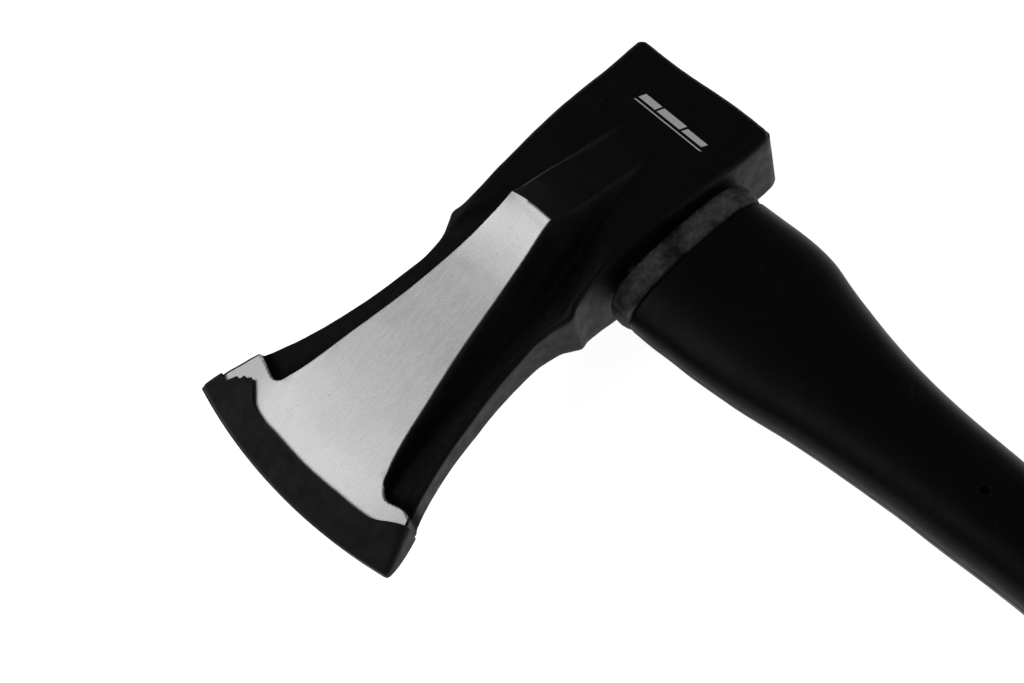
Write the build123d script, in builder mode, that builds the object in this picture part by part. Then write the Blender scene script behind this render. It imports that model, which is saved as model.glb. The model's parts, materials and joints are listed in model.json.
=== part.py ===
from build123d import *
import os

# Splitting maul lying on its cheek. +X runs along the handle from the head to the butt,
# -Y points from the poll face to the cutting edge, +Z is up. The origin is the centre of the
# poll face. Distances "back" are measured from the poll face towards the edge, so y = -back.

os.makedirs("parts", exist_ok=True)

# ---- driving dimensions, mm ----
AXIS_BACK = 46.5             # eye and handle axis, back from the poll face
EDGE_BACK = 196.8            # poll face to the middle of the cutting edge
EDGE_RADIUS = 204.0          # sweep of the edge in plan
EDGE_TIP_HALF = 46.0         # where the curved edge turns into the rounded toe and heel
POLL_HALF = 31.1             # half height of the poll along the handle
POLL_BREAK = 2.6             # broken corner round the poll face
STEP_BACK = 175.0            # where the forged pockets end and the full-width bevel starts
STEP_HALF = 43.0             # half width of the head there
CREST_BACK = 76.8            # the highest line of the splitting rib
CREST_HALF = 32.2            # half thickness over the rib's crest
RIB_DRAFT = 18.0             # forging draft of the rib's walls, degrees
RIB_STOCK = 2.0              # rib blank left over the crest before its profile is cut
JOIN_LAP = 2.0               # how far the rib and the cheeks run into the bevel

EYE_TOP = (56.0, 27.0)       # eye size at the top of the head
EYE_BOTTOM = (51.0, 23.5)    # eye size at the handle side
EYE_REACH = 40.0             # the eye's two gauge planes, beyond both faces of the head
CAP_TOP = -28.6              # eye cap, about level with the head's top face
CAP_SEAT = -24.0
CAP_BREAK = 1.0              # broken corner round the cap's face

GUARD_BACK = 198.9           # outer nose of the edge guard at its middle
GUARD_TIP_HALF = 48.0        # where the nose meets the rounded heel
GUARD_CLEAR = 0.4            # air between guard and steel
GUARD_SIDE_IN = 47.4         # inner half width of the guard, past the bit's widest point
GUARD_WALL = 1.5
GUARD_HEEL = 1.5             # straight of the side wall left behind the rounded heel
GUARD_ROOM_BACKS = (150.0, 170.0, 188.0)

COLLAR_START = 31.6          # the collar stands against the lower face of the head
NECK_START = 41.0
COLLAR_SIZE = (63.4, 28.6)
COLLAR_CORNER = 13.0
SPIGOT_SIZE = (52.0, 20.0)

STRAIGHT_START = 200.0
GRIP_START = 560.0
GRIP_END = 826.0
JACKET_END = 836.0
BUTT_END = 860.0
BUTT_SIZE = (46.0, 34.0)
BUTT_CORNER = 14.0
BUTT_ROUND = 6.0             # rounding of the end face
HANDLE_SIZE = (32.8, 29.2)
HANDLE_CORNER = 12.5
GRIP_CORE_SIZE = (28.0, 24.4)
GRIP_CORE_CORNER = 10.0
CORE_RADII = (10.5, 7.5)     # oval glass-fibre rod
CORE_TOP = -22.0
CORE_END = 812.0
HANG_HOLE_R = 4.0
HANG_HOLE_X = 847.0
PIN_HOLE_R = 1.5
PIN_HOLE_DEPTH = 3.0
PIN_HOLE_X = 166.7
OVER = 60.0                  # cutters and blanks reach this far past the head

# half width of the head (along the handle) against the distance back from the poll face
FLANK = [
    (POLL_HALF, 0), (31.2, 18), (30.4, 32), (29.4, 50), (28.3, 68), (28.3, 83), (29.2, 91),
    (28.3, 97), (26.8, 105), (27.2, 115), (29.5, 131), (33.7, 151), (39.3, 168),
    (STEP_HALF + 0.2, 177), (47.0, 187.5),
]
# half thickness of the cheeks and of the thin pocket floors: (back, height)
CHEEK = [
    (0, 13.2), (POLL_BREAK, 15.6), (16, 16.2), (28, 17.9), (44, 19.5), (62, 19.5), (75, 18.2),
    (86, 14.4), (96, 9.9), (108, 7.6), (122, 6.4), (150, 4.9), (STEP_BACK + JOIN_LAP, 4.5),
]
# half thickness over the ramp and the ground splitting rib: (back, height)
RIB = [
    (33, 17.0), (42, 20.4), (54, 24.1), (67, 28.2), (CREST_BACK, CREST_HALF), (92.5, 26.0),
    (104, 22.6), (120, 19.0), (137, 15.6), (161, 10.6), (STEP_BACK, 7.4), (STEP_BACK + JOIN_LAP, 6.8),
]
# half width of the rib at the mid-plane, before its draft: (half width, back)
RIB_FOOT = [
    (14.2, 33), (15.4, 42), (17.3, 54), (19.0, 68), (19.4, 77), (18.8, 92), (19.5, 106), (21.4, 125),
    (24.0, 145), (27.7, 165), (30.3, STEP_BACK + JOIN_LAP),
]
# half thickness of the bevel against the distance in from the curved edge: (inset, height)
BEVEL = [(0, 0.5), (12.8, 4.6), (EDGE_BACK - STEP_BACK, 7.4), (40, 11.6)]
# the guard's back lip and its flank up to the heel: (half width, back)
GUARD_LIP = [(0, 186.2), (16.4, 185.3), (32.0, 183.2), (42.8, 177.2), (44.2, 175.9)]
GUARD_FLANK = [(46.4, 181.0), (GUARD_SIDE_IN + GUARD_WALL, 187.0)]
# half thickness outside and inside the guard against the distance in from its nose: (inset, height)
GUARD_FACES = [(0, 1.4), (12.8, 5.9), (24, 9.2), (40, 13.4)]
GUARD_ROOM = [(0, 0.9), (12.8, 5.0), (22, 7.9), (42, 12.4)]
# the neck of the handle: x, half width, half thickness
NECK = [
    (NECK_START, 30.8, 13.3), (62, 30.8, 13.3), (84, 28.2, 13.2), (106, 23.8, 13.1),
    (140, 19.6, 13.4), (STRAIGHT_START, HANDLE_SIZE[0] / 2, HANDLE_SIZE[1] / 2),
]
# the grip sleeve: x, width, thickness
GRIP = [
    (GRIP_START, 34.6, 30.6), (610, 36.6, 31.8), (700, 34.6, 30.4), (780, 36.6, 31.8),
    (GRIP_END, 42.0, 33.4),
]


def oval_at(x, size):
    """A long-round section across the handle, on the plane at x."""
    with BuildSketch(Plane.YZ.offset(x)) as section:
        with Locations((-AXIS_BACK, 0)):
            SlotOverall(*size)
    return section.sketch


def block_at(x, size, corner):
    """A rounded rectangular section across the handle, on the plane at x."""
    with BuildSketch(Plane.YZ.offset(x)) as section:
        with Locations((-AXIS_BACK, 0)):
            RectangleRounded(*size, corner)
    return section.sketch


def eye_section(x):
    """The tapered eye's section on the plane at x."""
    part_way = (x + EYE_REACH) / (2 * EYE_REACH)
    return oval_at(x, [top + (bottom - top) * part_way for top, bottom in zip(EYE_TOP, EYE_BOTTOM)])


def plan(flank, edge_back, tip_half, radius):
    """Closed plan outline: flank points (half width, back) on both sides and a swept nose."""
    points = [(half, -back) for half, back in flank]
    tip = (tip_half, radius - edge_back - (radius**2 - tip_half**2) ** 0.5)
    with BuildSketch(Plane.XY.offset(-OVER)) as outline:
        with BuildLine():
            Line((0, points[0][1]), points[0])
            Spline(points)
            Line(points[-1], tip)
            mirror(about=Plane.YZ)
            ThreePointArc(tip, (0, -edge_back), (-tip[0], tip[1]))
        make_face()
    return outline.sketch


def side_profile(points, plane=Plane.YZ.offset(-OVER)):
    """Closed profile over both cheeks from (back, height) points of the upper one."""
    upper = [(-back, height) for back, height in points]
    lower = [(y, -height) for y, height in reversed(upper)]
    with BuildSketch(plane) as profile:
        with BuildLine():
            Polyline(upper + lower, close=True)
        make_face()
    return profile.sketch


def swept_bevel(bevel, edge_back):
    """A ring whose thickness follows (inset, height) from a curved edge at edge_back."""
    with BuildPart() as ring:
        profile = side_profile([(edge_back - inset, height) for inset, height in bevel], Plane.YZ)
        revolve(profile, axis=Axis((0, EDGE_RADIUS - EDGE_BACK, 0), (0, 0, 1)))
    return ring.part


# ---- maul head: one forging, with poll, eye, splitting rib, pockets and bevel ----
with BuildPart() as rib:
    foot = [(half, -back) for half, back in RIB_FOOT]
    with BuildSketch():
        with BuildLine():
            Line((0, foot[0][1]), foot[0])
            Polyline(foot)
            Line(foot[-1], (0, foot[-1][1]))
            mirror(about=Plane.YZ)
        make_face()
    extrude(amount=CREST_HALF + RIB_STOCK, taper=RIB_DRAFT)
    mirror(about=Plane.XY)
    extrude(side_profile(RIB), amount=2 * OVER, dir=(1, 0, 0), mode=Mode.INTERSECT)

with BuildPart() as bit:
    bit_flank = [(STEP_HALF, STEP_BACK)] + FLANK[-2:]
    extrude(plan(bit_flank, EDGE_BACK, EDGE_TIP_HALF, EDGE_RADIUS), amount=2 * OVER, dir=(0, 0, 1))
    add(swept_bevel(BEVEL, EDGE_BACK), mode=Mode.INTERSECT)

with BuildPart() as maul_head:
    extrude(plan(FLANK, EDGE_BACK, EDGE_TIP_HALF, EDGE_RADIUS), amount=2 * OVER, dir=(0, 0, 1))
    extrude(side_profile(CHEEK), amount=2 * OVER, dir=(1, 0, 0), mode=Mode.INTERSECT)
    add(rib.part)
    add(bit.part)
    loft([oval_at(-EYE_REACH, EYE_TOP), oval_at(EYE_REACH, EYE_BOTTOM)], mode=Mode.SUBTRACT)
    chamfer(maul_head.edges().filter_by(Axis.Z).group_by(Axis.Y)[-1], length=POLL_BREAK)
maul_head.part.label = "maul_head"
export_step(maul_head.part, "parts/maul_head.step")

# ---- edge guard: soft cap over the cutting edge, open at its back so that it pulls off ----
with BuildPart() as guard_cavity:
    cavity_sides = [(GUARD_SIDE_IN, back) for back in GUARD_ROOM_BACKS]
    room_back = EDGE_BACK + GUARD_CLEAR
    room_plan = plan(cavity_sides, room_back, EDGE_TIP_HALF + GUARD_CLEAR, EDGE_RADIUS)
    extrude(room_plan, amount=2 * OVER, dir=(0, 0, 1))
    add(swept_bevel(GUARD_ROOM, room_back), mode=Mode.INTERSECT)

with BuildPart() as edge_guard:
    nose_y = EDGE_RADIUS - GUARD_BACK - (EDGE_RADIUS**2 - GUARD_TIP_HALF**2) ** 0.5
    nose = (GUARD_TIP_HALF, nose_y)
    heel = (GUARD_SIDE_IN + GUARD_WALL, nose_y + GUARD_HEEL)
    with BuildSketch(Plane.XY.offset(-OVER)):
        with BuildLine():
            Polyline([(half, -back) for half, back in GUARD_LIP + GUARD_FLANK] + [heel, nose])
            mirror(about=Plane.YZ)
            ThreePointArc(nose, (0, -GUARD_BACK), (-nose[0], nose[1]))
        make_face()
    extrude(amount=2 * OVER)
    add(swept_bevel(GUARD_FACES, GUARD_BACK), mode=Mode.INTERSECT)
    add(guard_cavity.part, mode=Mode.SUBTRACT)
edge_guard.part.label = "edge_guard"
export_step(edge_guard.part, "parts/edge_guard.step")

# ---- core rod: pultruded glass-fibre oval, from the potted eye to the butt ----
with BuildPart() as core_rod:
    with BuildSketch(Plane.YZ.offset(CORE_TOP)):
        with Locations((-AXIS_BACK, 0)):
            Ellipse(*CORE_RADII)
    extrude(amount=CORE_END - CORE_TOP)
core_rod.part.label = "core_rod"
export_step(core_rod.part, "parts/core_rod.step")

# ---- eye resin: the cast potting that locks the rod into the eye ----
with BuildPart() as eye_resin:
    loft([eye_section(CAP_SEAT), eye_section(COLLAR_START)])
    add(core_rod.part, mode=Mode.SUBTRACT)
eye_resin.part.label = "eye_resin"
export_step(eye_resin.part, "parts/eye_resin.step")

# ---- eye cap: moulded plug that closes the top of the eye ----
with BuildPart() as eye_cap:
    loft([eye_section(CAP_TOP), eye_section(CAP_SEAT)])
    chamfer(eye_cap.faces().sort_by(Axis.X)[0].edges(), length=CAP_BREAK)
eye_cap.part.label = "eye_cap"
export_step(eye_cap.part, "parts/eye_cap.step")

# ---- neck collar: rubber ring between the head and the handle ----
with BuildPart() as neck_collar:
    extrude(
        block_at(COLLAR_START, COLLAR_SIZE, COLLAR_CORNER), amount=NECK_START - COLLAR_START,
        dir=(1, 0, 0),
    )
    extrude(
        oval_at(COLLAR_START, SPIGOT_SIZE), amount=NECK_START - COLLAR_START, dir=(1, 0, 0),
        mode=Mode.SUBTRACT,
    )
neck_collar.part.label = "neck_collar"
export_step(neck_collar.part, "parts/neck_collar.step")

# ---- handle jacket: moulded over the rod, with a flared neck, a spigot and a grip seat ----
with BuildPart() as handle_jacket:
    loft([block_at(x, (2 * half, 2 * thick), HANDLE_CORNER) for x, half, thick in NECK])
    extrude(oval_at(COLLAR_START, SPIGOT_SIZE), amount=NECK_START - COLLAR_START, dir=(1, 0, 0))
    extrude(
        block_at(STRAIGHT_START, HANDLE_SIZE, HANDLE_CORNER), amount=GRIP_START - STRAIGHT_START,
        dir=(1, 0, 0),
    )
    extrude(
        block_at(GRIP_START, GRIP_CORE_SIZE, GRIP_CORE_CORNER), amount=JACKET_END - GRIP_START,
        dir=(1, 0, 0),
    )
    add(core_rod.part, mode=Mode.SUBTRACT)
    for side in (1, -1):
        with Locations((PIN_HOLE_X, -AXIS_BACK, side * HANDLE_SIZE[1] / 2)):
            Cylinder(PIN_HOLE_R, 2 * PIN_HOLE_DEPTH, mode=Mode.SUBTRACT)
handle_jacket.part.label = "handle_jacket"
export_step(handle_jacket.part, "parts/handle_jacket.step")

# ---- grip sleeve: soft rubber over the jacket's grip seat ----
with BuildPart() as grip_sleeve:
    loft([block_at(x, (width, thick), HANDLE_CORNER) for x, width, thick in GRIP])
    extrude(
        block_at(GRIP_START, GRIP_CORE_SIZE, GRIP_CORE_CORNER), amount=GRIP_END - GRIP_START,
        dir=(1, 0, 0), mode=Mode.SUBTRACT,
    )
grip_sleeve.part.label = "grip_sleeve"
export_step(grip_sleeve.part, "parts/grip_sleeve.step")

# ---- butt cap: end knob with the hanging hole, socketed over the jacket's end ----
with BuildPart() as butt_cap:
    extrude(block_at(GRIP_END, BUTT_SIZE, BUTT_CORNER), amount=BUTT_END - GRIP_END, dir=(1, 0, 0))
    fillet(butt_cap.faces().sort_by(Axis.X)[-1].edges(), radius=BUTT_ROUND)
    extrude(
        block_at(GRIP_END, GRIP_CORE_SIZE, GRIP_CORE_CORNER), amount=JACKET_END - GRIP_END,
        dir=(1, 0, 0), mode=Mode.SUBTRACT,
    )
    with Locations((HANG_HOLE_X, -AXIS_BACK, 0)):
        Cylinder(HANG_HOLE_R, 2 * BUTT_SIZE[1], mode=Mode.SUBTRACT)
butt_cap.part.label = "butt_cap"
export_step(butt_cap.part, "parts/butt_cap.step")
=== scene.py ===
import json
import math

import bpy
import bmesh
import numpy as np
from mathutils import Matrix, Vector, noise


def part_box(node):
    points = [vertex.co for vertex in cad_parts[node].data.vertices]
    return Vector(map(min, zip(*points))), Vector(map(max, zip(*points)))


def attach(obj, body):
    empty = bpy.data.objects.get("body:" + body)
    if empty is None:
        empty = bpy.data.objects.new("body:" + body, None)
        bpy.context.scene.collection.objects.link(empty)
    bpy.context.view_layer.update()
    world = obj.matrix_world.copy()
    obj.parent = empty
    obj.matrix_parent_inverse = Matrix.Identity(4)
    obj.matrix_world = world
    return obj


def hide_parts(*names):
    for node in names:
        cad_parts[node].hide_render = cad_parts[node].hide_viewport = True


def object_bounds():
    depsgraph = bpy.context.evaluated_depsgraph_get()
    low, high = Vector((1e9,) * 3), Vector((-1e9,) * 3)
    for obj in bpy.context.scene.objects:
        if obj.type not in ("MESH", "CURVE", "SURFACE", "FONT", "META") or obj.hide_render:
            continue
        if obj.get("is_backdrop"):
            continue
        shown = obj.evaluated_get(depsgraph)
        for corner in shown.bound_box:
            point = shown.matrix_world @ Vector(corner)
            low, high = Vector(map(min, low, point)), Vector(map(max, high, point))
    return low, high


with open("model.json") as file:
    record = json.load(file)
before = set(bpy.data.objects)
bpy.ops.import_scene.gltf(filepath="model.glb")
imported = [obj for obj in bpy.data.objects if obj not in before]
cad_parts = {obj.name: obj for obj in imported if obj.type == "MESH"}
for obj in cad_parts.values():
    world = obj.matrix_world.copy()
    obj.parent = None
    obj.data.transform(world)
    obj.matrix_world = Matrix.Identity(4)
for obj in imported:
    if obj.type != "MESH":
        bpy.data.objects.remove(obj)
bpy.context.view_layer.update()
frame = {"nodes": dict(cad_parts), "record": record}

MM = 0.001

# ---------------------------------------------------------------- places taken from the frame
HEAD_LO, HEAD_HI = [np.array(corner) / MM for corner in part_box("maul_head")]
GUARD_LO, GUARD_HI = [np.array(corner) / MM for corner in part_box("edge_guard")]
COLLAR_LO, COLLAR_HI = [np.array(corner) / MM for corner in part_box("neck_collar")]
JACKET_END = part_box("handle_jacket")[1][0] / MM
GRIP_LO, GRIP_HI = [np.array(corner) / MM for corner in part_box("grip_sleeve")]
BUTT_LO, BUTT_HI = [np.array(corner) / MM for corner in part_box("butt_cap")]
CAP_LO, CAP_HI = [np.array(corner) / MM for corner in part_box("eye_cap")]
AXIS_BACK = -(COLLAR_LO[1] + COLLAR_HI[1]) / 2
EDGE_BACK = -HEAD_LO[1]
CREST_HEIGHT = HEAD_HI[2]
MOUNTS = {mount["name"]: mount for mount in frame["record"]["mounts"]}

# ---------------------------------------------------------------- shape of the head, mm
# "back" runs from the poll face towards the cutting edge, so y = -back. Tables read (back, value).
EDGE_RADIUS = 204.0
CREST_BACK = 76.8
POCKET_END = 175.0
RIB_DRAFT_RUN = 0.325
FLANK = [
    (0, 31.1), (8, 31.3), (18, 31.0), (32, 30.5), (50, 29.5), (68, 28.4), (83, 28.5), (88, 29.3),
    (91.5, 30.5), (94, 29.6), (97.5, 28.2), (105, 26.8), (115, 27.4), (131, 29.7), (151, 33.9),
    (168, 39.5), (177, 43.3), (187.5, 47.0), (192, 46.0),
]
CHEEK = [
    (0, 15.9), (16, 16.2), (28, 17.9), (44, 19.4), (62, 19.5), (75, 18.2), (86, 14.4), (96, 9.9),
    (108, 7.6), (122, 6.4), (150, 4.9), (180, 4.4),
]
RAMP = [
    (15, 4.0), (25, 10.5), (33, 15.6), (38, 18.2), (42, 20.1), (54, 24.1), (67, 28.2),
    (CREST_BACK, CREST_HEIGHT), (88, 36.8),
]
BEVELLED_RIB = [
    (CREST_BACK - 6, CREST_HEIGHT + 2.3), (CREST_BACK, CREST_HEIGHT), (92.5, 26.0), (104, 22.6),
    (120, 19.0), (137, 15.6), (161, 10.6), (POCKET_END, 7.4), (190, 4.2),
]
RIB_TOP = [
    (20, 8.4), (35, 8.5), (42, 8.7), (54, 9.5), (67, 10.0), (CREST_BACK, 8.9), (92, 10.3),
    (108, 12.4), (125, 15.1), (145, 19.4), (165, 24.1), (POCKET_END, 27.7), (192, 33.0),
]
BEVEL = [(0, 0.5), (12.8, 4.6), (21.8, 7.4), (40, 12.6), (60, 22.0)]
POCKET_STOP = [
    (-46, 171.0), (-40, 171.9), (-29, 174.9), (0, 175.0), (27, 174.8), (31, 175.9), (39, 174.3), (46, 176.5),
]
POCKET_CORNER = 3.6
CREST_SPREAD = 14.0
EYE_TOP = (56.0, 27.0)
EYE_BOTTOM = (51.0, 23.5)
EYE_REACH = 40.0


def curve(points):
    """A smooth function through (x, y) points."""
    xs, ys = np.array(points, float).T
    slopes = np.gradient(ys, xs)

    def at(x):
        x = np.clip(x, xs[0], xs[-1])
        i = np.clip(np.searchsorted(xs, x) - 1, 0, len(xs) - 2)
        gap = xs[i + 1] - xs[i]
        t = (x - xs[i]) / gap
        low = (1 + 2 * t) * (1 - t) ** 2 * ys[i] + t * (1 - t) ** 2 * gap * slopes[i]
        return low + t**2 * (3 - 2 * t) * ys[i + 1] + t**2 * (t - 1) * gap * slopes[i + 1]

    return at


flank_at, cheek_at, ramp_at = curve(FLANK), curve(CHEEK), curve(RAMP)
rib_at, rib_top_at = curve(BEVELLED_RIB), curve(RIB_TOP)
bevel_at, pocket_stop_at = curve(BEVEL), curve(POCKET_STOP)


def soft_min(p, q, k):
    """The lower of two heights, rounded over where they are within k."""
    h = np.clip(k - np.abs(p - q), 0, None) / k
    return np.minimum(p, q) - h * h * k / 4


def soft_max(p, q, k):
    return -soft_min(-p, -q, k)


def step(x, low, high):
    """0 before low, 1 after high and smooth between."""
    t = np.clip((x - low) / (high - low), 0, 1)
    return t * t * (3 - 2 * t)


def roll_off(distance, radius):
    """How far a rounded edge has dropped at a distance in from it."""
    reach = np.clip(radius - distance, 0, radius)
    return radius - np.sqrt(np.clip(radius**2 - reach**2, 0, None))


def inside_corner(beside, before, radius):
    """Distance inside two sides that meet in a corner of a radius."""
    return radius - np.hypot(np.clip(radius - beside, 0, None), np.clip(radius - before, 0, None))


def edge_drop(a):
    """How much nearer the poll the curved cutting edge is at a than at its middle."""
    return EDGE_RADIUS - np.sqrt(EDGE_RADIUS**2 - np.clip(np.abs(a), 0, 150) ** 2)


def crest_shift(a):
    """The crest isn't quite square to the head."""
    near = np.clip(a, -9.5, 9.5)
    return (0.010 * (near - 4) ** 2 * (near < 4) + 0.012 * (near - 4) - 0.3) * (1 - step(np.abs(a), 11, 18))


def pocket_depth(a, back):
    """Distance inside the outline of the forged pocket; negative on the rib and the bevel."""
    beside = (np.abs(a) - rib_top_at(back)) * 0.97
    before = pocket_stop_at(a) - back
    inner = inside_corner(beside, before, POCKET_CORNER)
    deep = (beside > POCKET_CORNER) & (before > POCKET_CORNER)
    return np.where(deep, np.minimum(beside, before), inner)


def cheek_surface(a, back):
    """Half thickness of the head at a place in plan, before its outer edges are rounded."""
    shift = crest_shift(a) * np.exp(-(((back - CREST_BACK) / CREST_SPREAD) ** 2))
    top = np.minimum(ramp_at(back - shift), rib_at(back - shift))
    inset = EDGE_RADIUS - np.hypot(a, back + EDGE_RADIUS - EDGE_BACK)
    top = np.where(back > 150, soft_min(top, bevel_at(inset), 0.5), top)
    depth = pocket_depth(a, back)
    crisp = step(back, CREST_BACK - 8, CREST_BACK)
    rib = soft_min(top, top - depth / RIB_DRAFT_RUN, 3.2 - 2.4 * crisp)
    lean = 13 * np.clip((27 - np.abs(a)) / 13, 0, 1) * step(back, 38, 62) * (1 - step(back, 105, 130))
    floor = cheek_at(back + lean) - 60 * np.clip(-depth / 0.6, 0, 1) * (back > 150)
    return soft_max(floor, rib, 4.5 - 3.3 * step(back, 120, 172))


# ---------------------------------------------------------------- mesh helpers, all in mm
def sheet_faces(rows, cols, start=0, flip=False):
    """Quads of a rows x cols lattice of vertices numbered from start."""
    r, c = np.meshgrid(np.arange(rows - 1), np.arange(cols - 1), indexing="ij")
    a = (start + r * cols + c).ravel()
    quads = np.stack([a, a + 1, a + cols + 1, a + cols], axis=1)
    return (quads[:, ::-1] if flip else quads).tolist()


def new_object(name, verts, faces):
    """A smooth-shaded mesh object from vertices in mm."""
    mesh = bpy.data.meshes.new(name)
    mesh.from_pydata((np.asarray(verts, float) * MM).tolist(), [], faces)
    mesh.update()
    obj = bpy.data.objects.new(name, mesh)
    bpy.context.scene.collection.objects.link(obj)
    return obj


def turn_outwards(obj):
    """Consistent outward normals."""
    work = bmesh.new()
    work.from_mesh(obj.data)
    bmesh.ops.recalc_face_normals(work, faces=work.faces)
    work.to_mesh(obj.data)
    work.free()


def pillow(name, top, bottom, levels):
    """A closed solid from a top and a bottom sheet of the same lattice, joined by a belt of levels."""
    rows, cols = top.shape[:2]
    ring = [(0, c) for c in range(cols)] + [(r, cols - 1) for r in range(1, rows)]
    ring += [(rows - 1, c) for c in range(cols - 2, -1, -1)] + [(r, 0) for r in range(rows - 2, 0, -1)]
    verts = [top.reshape(-1, 3), bottom.reshape(-1, 3)]
    faces = sheet_faces(rows, cols) + sheet_faces(rows, cols, rows * cols, flip=True)
    upper = np.array([top[at] for at in ring])
    lower = np.array([bottom[at] for at in ring])
    belts = [[r * cols + c for r, c in ring]]
    for level in range(1, levels):
        belts.append((2 * rows * cols + (level - 1) * len(ring) + np.arange(len(ring))).tolist())
        verts.append(upper + (lower - upper) * level / levels)
    belts.append([rows * cols + r * cols + c for r, c in ring])
    for one, two in zip(belts, belts[1:]):
        faces += [
            (one[k], two[k], two[(k + 1) % len(ring)], one[(k + 1) % len(ring)]) for k in range(len(ring))
        ]
    return new_object(name, np.concatenate(verts), faces)


def tube(name, loops, closed=False):
    """A skin over loops of equal length; its two ends are filled, or joined to each other if closed."""
    count, size = loops.shape[:2]
    faces = []
    for i in range(count if closed else count - 1):
        j = (i + 1) % count
        for k in range(size):
            after = (k + 1) % size
            faces.append((i * size + k, i * size + after, j * size + after, j * size + k))
    if not closed:
        faces += [tuple(range(size))[::-1], tuple(range((count - 1) * size, count * size))]
    obj = new_object(name, loops.reshape(-1, 3), faces)
    turn_outwards(obj)
    return obj


def cut(obj, cutter):
    """obj less the cutter, which is used up."""
    boolean = obj.modifiers.new("cut", "BOOLEAN")
    boolean.operation, boolean.solver, boolean.object = "DIFFERENCE", "EXACT", cutter
    bpy.context.view_layer.update()
    seen = obj.evaluated_get(bpy.context.evaluated_depsgraph_get())
    mesh = bpy.data.meshes.new_from_object(seen)
    obj.modifiers.clear()
    obj.data = mesh
    bpy.data.objects.remove(cutter)
    return obj


def points_of(obj):
    """The object's vertices in mm."""
    flat = np.empty(len(obj.data.vertices) * 3)
    obj.data.vertices.foreach_get("co", flat)
    return flat.reshape(-1, 3) / MM


def set_points(obj, points):
    obj.data.vertices.foreach_set("co", (points * MM).ravel())
    obj.data.update()


def keep_number(obj, name, values):
    """Stores one number a vertex for the material to read."""
    layer = obj.data.attributes.new(name, "FLOAT", "POINT")
    layer.data.foreach_set("value", np.asarray(values, np.float32))


def keep_edges(obj, reach=2):
    """Stores how convex the mesh is at each vertex, spread over its neighbours, for worn edges."""
    work = bmesh.new()
    work.from_mesh(obj.data)
    work.edges.ensure_lookup_table()
    ends = np.array([[v.index for v in e.verts] for e in work.edges])
    bend = np.array([e.calc_face_angle_signed(0.0) for e in work.edges])
    work.free()
    worn = np.zeros(len(obj.data.vertices))
    np.maximum.at(worn, ends.ravel(), np.repeat(bend, 2))
    for _ in range(reach):
        total, count = np.zeros_like(worn), np.zeros_like(worn)
        np.add.at(total, ends[:, 0], worn[ends[:, 1]])
        np.add.at(total, ends[:, 1], worn[ends[:, 0]])
        np.add.at(count, ends.ravel(), 1)
        worn = 0.5 * worn + 0.5 * total / np.maximum(count, 1)
    keep_number(obj, "worn", np.clip(worn, 0, 1))


def shade(obj, angle=None):
    """Smooth shading, with edges sharper than an angle in degrees left crisp."""
    obj.data.polygons.foreach_set("use_smooth", [True] * len(obj.data.polygons))
    if angle is not None:
        obj.data.set_sharp_from_angle(angle=math.radians(angle))
    obj.data.update()


def rough(points, size, seed=0.0):
    """Smooth noise from -1 to 1 at points in mm, with features of a size in mm (one, or one each way)."""
    scaled = points / np.asarray(size, float) + seed
    return np.array([noise.noise(Vector(p)) for p in scaled])


def finish_piece(obj, body, slot, *nodes):
    """Rides the piece on its body and hides the CAD nodes it stands for. The slot is not used."""
    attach(obj, body)
    if nodes:
        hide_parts(*nodes)


# ---------------------------------------------------------------- the forged head
def flank_half(back_at, warp):
    """Half width of each lattice row, allowing for the row's bow along the curved edge."""
    half = flank_at(back_at)
    for _ in range(12):
        half = flank_at(back_at - warp * edge_drop(half))
    return half


def head_rows():
    """Distances back of the lattice rows, closer at the poll's rim, the crest and the pockets' end."""
    rim = [0, 0.12, 0.4, 0.85, 1.4, 2.1, 3.0, 4.0]
    crest = CREST_BACK + np.array([-1.6, -0.9, -0.4, 0, 0.4, 0.9, 1.6])
    fine = np.arange(166, 181, 0.42)
    return np.concatenate([
        rim, np.arange(5, crest[0] - 0.4, 0.95), crest, np.arange(crest[-1] + 0.8, 165.6, 0.95), fine,
        np.arange(fine[-1] + 0.7, EDGE_BACK - 0.3, 0.9), [EDGE_BACK],
    ])


def head_columns(back, half, rim):
    """Places across one row from its middle to its flank, gathered along the rib's wall."""
    top = rib_top_at(back)
    foot = top + RIB_DRAFT_RUN * max(float(rib_at(max(back, CREST_BACK)) - cheek_at(back)), 2.0) + 1.6
    foot = min(foot, half - rim - 2.0)
    top = min(top, foot - 2.5)
    inner = np.linspace(0, top - 0.5, 15)
    lip = np.linspace(top - 0.5, top + 0.5, 6)[1:]
    wall = np.linspace(top + 0.5, foot, 13)[1:]
    floor = np.linspace(foot, half - rim, 19)[1:]
    edge = half - rim * (1 - np.sin(np.linspace(0, math.pi / 2, 7)))[1:]
    return np.concatenate([inner, lip, wall, floor, edge])


def rim_radius(back):
    """Rounding of the edge between cheek and flank: soft on the forging, crisp on the ground bevel."""
    return 2.3 - 1.3 * step(back, 80, 110) - 0.5 * step(back, 172, 178)


def poll_corner(a):
    """Plan rounding of the poll's two corners."""
    return np.where(a > 0, 4.2, 2.8)


HEAD_JOINT = 2.6
MIN_HALF_THICKNESS = 0.45


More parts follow.
